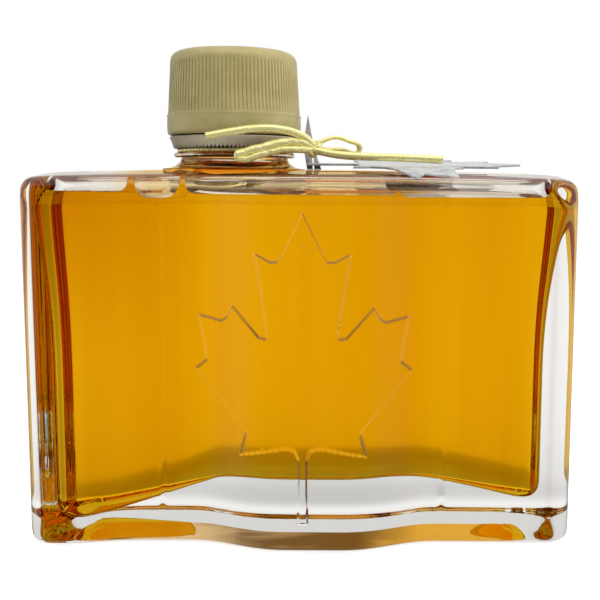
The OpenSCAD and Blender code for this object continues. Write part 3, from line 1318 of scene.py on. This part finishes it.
@dataclass
class LeafTag:
    """A leaf cut from thin card, which droops over both edges of the shoulder."""

    body: Body
    leaf: LeafShape
    finish: SilverCard = field(default_factory=SilverCard)
    foot: tuple[float, float] = (0.7 * MM, -2 * MM)
    length: float = 49 * MM
    width: float = 42 * MM
    thick: float = 0.5 * MM
    gap: float = 0.1 * MM
    drape: tuple[Ring, ...] = (
        (-25, -3.4),
        (-20.5, -1.2),
        (-18, -0.3),
        (-16, 0.0),
        (-8, 0.4),
        (0, 1.2),
        (16, 2.6),
        (24, 3.2),
    )
    spike: tuple[Ring, ...] = (
        (0.0, 0.0),
        (1.75, 0.0),
        (1.55, 3.2),
        (0.95, 7.4),
        (0.55, 8.6),
        (0.65, 6.8),
        (1.05, 3.0),
        (1.2, 0.0),
        (3.3, 0.0),
        (1.6, 5.0),
        (0.2, 12.5),
        (-0.9, 5.5),
    )

    def plate(self, name: str, outline: Sequence[tuple[float, float]]) -> bpy.types.Object:
        """A flat plate with softened edges, cut to an outline.

        Args:
            name: the plate's name.
            outline: the points of its closed outline.

        Returns:
            The plate as a mesh, with its lower side at height 0.
        """
        curve = bpy.data.curves.new(name, "CURVE")
        curve.dimensions = "2D"
        curve.fill_mode = "BOTH"
        curve.bevel_depth = self.thick * 0.2
        curve.bevel_resolution = 1
        curve.extrude = self.thick * 0.3
        curve.offset = -self.thick * 0.2
        spline = curve.splines.new("POLY")
        spline.points.add(len(outline) - 1)
        spline.use_cyclic_u = True
        for point, (x, y) in zip(spline.points, outline):
            point.co = (x, y, 0, 1)
        plate = bpy.data.objects.new(name, curve)
        bpy.context.scene.collection.objects.link(plate)
        take(plate)
        bpy.ops.object.convert(target="MESH")
        plate = named(name)
        with Bench(plate) as bench:
            bench.outward()
            bpy.ops.transform.translate(value=(0, 0, self.thick / 2))
        return plate

    def lift(self, y: float) -> float:
        """How far the card's lower side lies above the shoulder at y."""
        across, up = zip(*self.drape)
        return float(np.interp(y / MM, across, up)) * MM

    def build(self) -> bpy.types.Object:
        """Makes the card leaf with the point that stands beside the cap.

        Returns:
            The finished piece.
        """
        x, y = self.foot
        outline = [(x + b, y - a) for a, b in self.leaf.outline(self.width, self.length)]
        card = self.plate("card_leaf", outline)
        with Bench(card) as bench:
            bench.cut(0, [x + i * MM for i in range(1, 49, 2)])
            bench.cut(1, [i * MM for i in range(-22, 20)])
        deepest = 4 * MM
        push(card, "Z", self.body.height + self.gap - deepest, lambda p: 1.0)
        push(card, "Z", 2 * deepest, lambda p: (self.lift(p.y) + deepest) / (2 * deepest))
        point = self.plate("card_point", [(a * MM, b * MM) for a, b in self.spike])
        with Bench(point) as bench:
            bench.everything()
            bpy.ops.transform.rotate(
                value=-math.pi / 2, orient_axis="X", center_override=(0, 0, 0)
            )
            place = (x, y + self.thick / 2, self.body.height + self.gap)
            bpy.ops.transform.translate(value=place)
        piece = joined("leaf_tag", [card, point])
        smooth(piece, 40)
        show(piece, [self.finish.make()], "tag")
        return piece


@dataclass
class ElasticBow:
    """Flat gold elastic: round the neck, through a knot and tied in a bow."""

    body: Body
    finish: GoldElastic = field(default_factory=GoldElastic)
    wide: float = 1.7 * MM
    flat: float = 1.65 * MM
    neck_cord: float = 0.9 * MM
    level: float = 86.95 * MM
    knot: Point = (2.5 * MM, -12 * MM, 87.55 * MM)

    def strand(
        self,
        name: str,
        route: Sequence[Point],
        size: tuple[float, float],
        tilt: tuple[float, float] = (0, 0),
        closed: bool = False,
        wrinkle: float = 0.0,
    ) -> bpy.types.Object:
        """Sweeps the elastic along a route.

        Args:
            name: the strand's name.
            route: points from the knot's centre, in millimetres.
            size: width and thickness of the elastic.
            tilt: turn of its flat side at both ends, in degrees.
            closed: whether the route is a closed loop.
            wrinkle: depth of the crinkles across it.

        Returns:
            The strand as a mesh.
        """
        curve = bpy.data.curves.new(name, "CURVE")
        curve.dimensions = "3D"
        curve.resolution_u = 10
        curve.twist_mode = "Z_UP"
        spline = curve.splines.new("BEZIER")
        spline.bezier_points.add(len(route) - 1)
        spline.use_cyclic_u = closed
        for i, (point, place) in enumerate(zip(spline.bezier_points, route)):
            point.co = [k + p * MM for k, p in zip(self.knot, place)]
            point.handle_left_type = point.handle_right_type = "AUTO"
            share = i / (len(route) - 1)
            point.tilt = math.radians(tilt[0] + (tilt[1] - tilt[0]) * share)
        rim = bpy.data.curves.new(name + "_rim", "CURVE")
        rim.dimensions = "2D"
        section = rim.splines.new("POLY")
        count = 20
        section.points.add(count - 1)
        section.use_cyclic_u = True
        for i, point in enumerate(section.points):
            a = 2 * math.pi * i / count
            lobe = 1 + 0.04 * math.cos(a * count / 2)
            point.co = (size[0] / 2 * lobe * math.cos(a), size[1] / 2 * lobe * math.sin(a), 0, 1)
        profile = bpy.data.objects.new(name + "_rim", rim)
        bpy.context.scene.collection.objects.link(profile)
        curve.bevel_mode = "OBJECT"
        curve.bevel_object = profile
        curve.use_fill_caps = not closed
        strand = bpy.data.objects.new(name, curve)
        bpy.context.scene.collection.objects.link(strand)
        take(strand)
        bpy.ops.object.convert(target="MESH")
        remove(profile)
        strand = named(name)
        if wrinkle:
            texture = bpy.data.textures.new(name, "CLOUDS")
            texture.noise_scale = 0.0009
            finish_with(strand, "SUBSURF", levels=1)
            finish_with(strand, "DISPLACE", texture=texture, strength=wrinkle, mid_level=0.5)
            bpy.data.textures.remove(texture)
        return strand

    def around(self) -> bpy.types.Object:
        """The stretched loop round the neck, which meets the knot.

        Returns:
            The strand as a mesh.
        """
        x, y = self.body.neck
        radius = self.body.neck_radius + self.neck_cord / 2
        to_knot = (self.knot[0] - x, self.knot[1] - y)
        aim = math.atan2(to_knot[1], to_knot[0])
        spread = math.acos(radius / math.hypot(*to_knot))
        turns = [aim + spread + (2 * math.pi - 2 * spread) * i / 24 for i in range(25)]
        ring = [(x + radius * math.cos(a), y + radius * math.sin(a), self.level) for a in turns]
        route = [self.knot, *ring, self.knot]
        local = [tuple((a - b) / MM for a, b in zip(p, self.knot)) for p in route]
        return self.strand("neck_loop", local, (self.neck_cord, self.neck_cord * 0.9))

    def wrap(self) -> bpy.types.Object:
        """The knot: a small tight trefoil of the same elastic.

        Returns:
            The strand as a mesh.
        """
        route = []
        for i in range(18):
            t = 2 * math.pi * i / 18
            route.append(
                (
                    0.62 * (math.sin(t) + 1.5 * math.sin(2 * t)),
                    0.5 * -math.sin(3 * t) - 0.1,
                    0.68 * (math.cos(t) - 1.5 * math.cos(2 * t)),
                )
            )
        return self.strand("knot", route, (1.35 * MM, 1.1 * MM), closed=True)

    def build(self) -> bpy.types.Object:
        """Makes every strand and dresses the bow.

        Returns:
            The finished piece.
        """
        cord = (self.wide, self.flat)
        upper = [(0, 0, 0), (-0.3, -0.3, 0.6), (-1.2, -1.2, 1.7), (-3.6, -3, 2.9), (-7.5, -4.6, 3.7)]
        upper += [(-12, -5.6, 3.7), (-17, -6, 3), (-22.4, -6, 2)]
        left = [(0, 0, 0), (-0.5, -0.4, -0.4), (-2.2, -1.8, -0.5), (-6, -3.6, -0.5)]
        left += [(-11, -5.2, -1.7), (-15, -6.1, -2.7), (-15.8, -6.6, -2), (-14.4, -6.2, -1.3)]
        left += [(-10.6, -5.4, -0.2), (-6, -3.9, 1), (-2.2, -1.8, 1), (-0.6, -0.5, 0.3), (0, 0, 0)]
        right = [(0, 0, 0), (0.5, 0.1, 0.4), (1.8, -0.2, 1.2), (4.7, 0.2, 2.2), (7.8, 1.2, 1.5)]
        right += [(10.2, 3, 0.2), (9.8, 3.4, -0.8), (6.4, 1.8, -0.4), (2.2, 0.6, -0.3), (0, 0, 0)]
        lower = [(0, 0, 0), (0.4, -0.4, -0.5), (1.8, -0.9, -0.9), (5, -1, -1.5), (10, -1.2, -1.9)]
        lower += [(18, -0.8, -2.1), (28.4, 0, -2.5)]
        pieces = [
            self.strand("upper_tail", upper, cord, (0, 0)),
            self.strand("left_loop", left, cord, (0, 0), wrinkle=0.25 * MM),
            self.strand("right_loop", right, (1.3 * MM, 0.9 * MM), (0, 0)),
            self.strand("right_tail", lower, cord, (0, 90)),
            self.around(),
            self.wrap(),
        ]
        piece = joined("elastic_bow", pieces)
        smooth(piece, 60)
        show(piece, [self.finish.make()], "bow")
        return piece


@dataclass
class Studio:
    """Pale floor, soft light and the camera."""

    camera_place: Point = (11.9 * MM, -220.2 * MM, 79.44 * MM)
    tilt: float = 6.97
    roll: float = 0.35
    lens: float = 56.4
    shift: float = -0.0917
    floor_glow: float = 0.25
    brightness: float = 1.1
    round_about: tuple[Ring, ...] = (
        (0.0, 1.0),
        (0.14, 0.97),
        (0.21, 0.5),
        (0.3, 0.8),
        (0.5, 0.85),
        (0.65, 0.3),
        (0.8, 0.0),
        (1.0, 0.0),
    )
    level_light: tuple[Ring, ...] = (
        (0.0, 0.4),
        (0.3, 0.45),
        (0.335, 0.53),
        (0.36, 0.8),
        (0.41, 0.89),
        (0.5, 0.87),
        (1.0, 0.87),
    )
    top_light: tuple[Ring, ...] = (
        (0.0, 0.2),
        (0.2, 0.0),
        (0.7, 0.0),
        (0.85, 0.85),
        (1.0, 0.9),
    )

    def camera(self) -> None:
        """Adds the camera at the viewing angle."""
        data = bpy.data.cameras.new("view")
        data.lens = self.lens
        data.sensor_width = 36
        data.shift_x = self.shift
        data.clip_start = 0.01
        camera = bpy.data.objects.new("view", data)
        bpy.context.scene.collection.objects.link(camera)
        turn = Matrix.Rotation(math.radians(90 - self.tilt), 4, "X")
        turn = turn @ Matrix.Rotation(math.radians(self.roll), 4, "Z")
        camera.matrix_world = Matrix.Translation(self.camera_place) @ turn
        bpy.context.scene.camera = camera

    def floor(self) -> None:
        """Adds the pale floor."""
        bpy.ops.object.select_all(action="DESELECT")
        bpy.ops.mesh.primitive_plane_add(size=6, location=(0, 0, 0))
        floor = named("floor")
        paint = Paint("floor")
        matt = paint.add("BsdfDiffuse")
        grain = paint.noise(3, 2)
        tint = paint.between(grain.outputs[0], (0.93, 0.93, 0.93), (0.96, 0.96, 0.96))
        paint.join(tint, matt.inputs["Color"])
        glow = paint.add("Emission", Strength=self.floor_glow)
        both = paint.add("AddShader")
        paint.join(matt.outputs[0], both.inputs[0])
        paint.join(glow.outputs[0], both.inputs[1])
        paint.surface(both)
        floor.data.materials.append(paint.material)
        floor.visible_glossy = False
        floor.visible_transmission = False

    def sky(self) -> None:
        """Sets a white surround behind and above the object and a dark room before it."""
        world = bpy.data.worlds.new("surround")
        world.use_nodes = True
        bpy.context.scene.world = world
        nodes, links = world.node_tree.nodes, world.node_tree.links
        nodes.clear()
        where = nodes.new("ShaderNodeTexCoord")
        split = nodes.new("ShaderNodeSeparateXYZ")
        links.new(where.outputs["Generated"], split.inputs[0])

        def sums(kind: str, *values: object) -> bpy.types.NodeSocket:
            """A maths node on sockets or numbers.

            Args:
                kind: the node's operation.
                values: its inputs in order.

            Returns:
                The result's socket.
            """
            node = nodes.new("ShaderNodeMath")
            node.operation = kind
            for socket, value in zip(node.inputs, values):
                if isinstance(value, bpy.types.NodeSocket):
                    links.new(value, socket)
                else:
                    socket.default_value = value
            return node.outputs[0]

        def tone(value: bpy.types.NodeSocket, stops: Sequence[Ring]) -> bpy.types.NodeSocket:
            """Grey that follows a value from 0 to 1 through the given stops.

            Args:
                value: the socket that is followed.
                stops: (value, grey) pairs.

            Returns:
                The grey's socket.
            """
            node = nodes.new("ShaderNodeFloatCurve")
            curve = node.mapping.curves[0]
            while len(curve.points) < len(stops):
                curve.points.new(0.5, 0.5)
            for point, stop in zip(curve.points, stops):
                point.location = stop
            node.mapping.update()
            links.new(value, node.inputs["Value"])
            return node.outputs[0]

        turn = sums("ARCTAN2", split.outputs["X"], split.outputs["Y"])
        around_it = sums("DIVIDE", sums("ABSOLUTE", turn), 3.14159)
        rise = sums("MULTIPLY_ADD", split.outputs["Z"], 0.5, 0.5)
        level = sums("MULTIPLY", tone(around_it, self.round_about), tone(rise, self.level_light))
        grey = sums("MAXIMUM", level, tone(rise, self.top_light))
        around = nodes.new("ShaderNodeBackground")
        around.inputs["Strength"].default_value = self.brightness
        links.new(grey, around.inputs["Color"])
        seen = nodes.new("ShaderNodeBackground")
        seen.inputs["Color"].default_value = (1, 1, 1, 1)
        path = nodes.new("ShaderNodeLightPath")
        mix = nodes.new("ShaderNodeMixShader")
        links.new(path.outputs["Is Camera Ray"], mix.inputs[0])
        links.new(around.outputs[0], mix.inputs[1])
        links.new(seen.outputs[0], mix.inputs[2])
        out = nodes.new("ShaderNodeOutputWorld")
        links.new(mix.outputs[0], out.inputs["Surface"])

    def lamp(self, name: str, place: Point, size: float, power: float) -> None:
        """Adds a soft area light that faces the bottle.

        Args:
            name: the light's name.
            place: where it hangs.
            size: its width.
            power: its strength, in watts.
        """
        data = bpy.data.lights.new(name, "AREA")
        data.size = size
        data.energy = power
        lamp = bpy.data.objects.new(name, data)
        bpy.context.scene.collection.objects.link(lamp)
        lamp.location = place
        aim = Vector((0, 0, 0.06)) - Vector(place)
        lamp.rotation_euler = aim.to_track_quat("-Z", "Y").to_euler()
        lamp.visible_glossy = False
        lamp.visible_transmission = False
        lamp.visible_camera = False

    def build(self) -> None:
        """Sets up the whole studio."""
        scene = bpy.context.scene
        scene.view_settings.view_transform = "Standard"
        scene.cycles.max_bounces = 32
        scene.cycles.transmission_bounces = 28
        scene.cycles.glossy_bounces = 16
        scene.cycles.transparent_max_bounces = 16
        self.camera()
        self.floor()
        self.sky()
        self.lamp("key", (0.45, -0.5, 0.6), 0.5, 6.5)


def main() -> None:
    """Builds every piece in order."""
    logging.basicConfig(level=logging.INFO, format="%(message)s")
    Studio().build()
    body = Body()
    leaf = LeafShape()
    bottle = GlassBottle(body, leaf)
    bottle.build()
    SyrupFill(bottle).build()
    ScrewCap(body).build()
    TamperRing(body).build()
    LeafTag(body, leaf).build()
    ElasticBow(body).build()


if __name__ == "__main__":
    main()
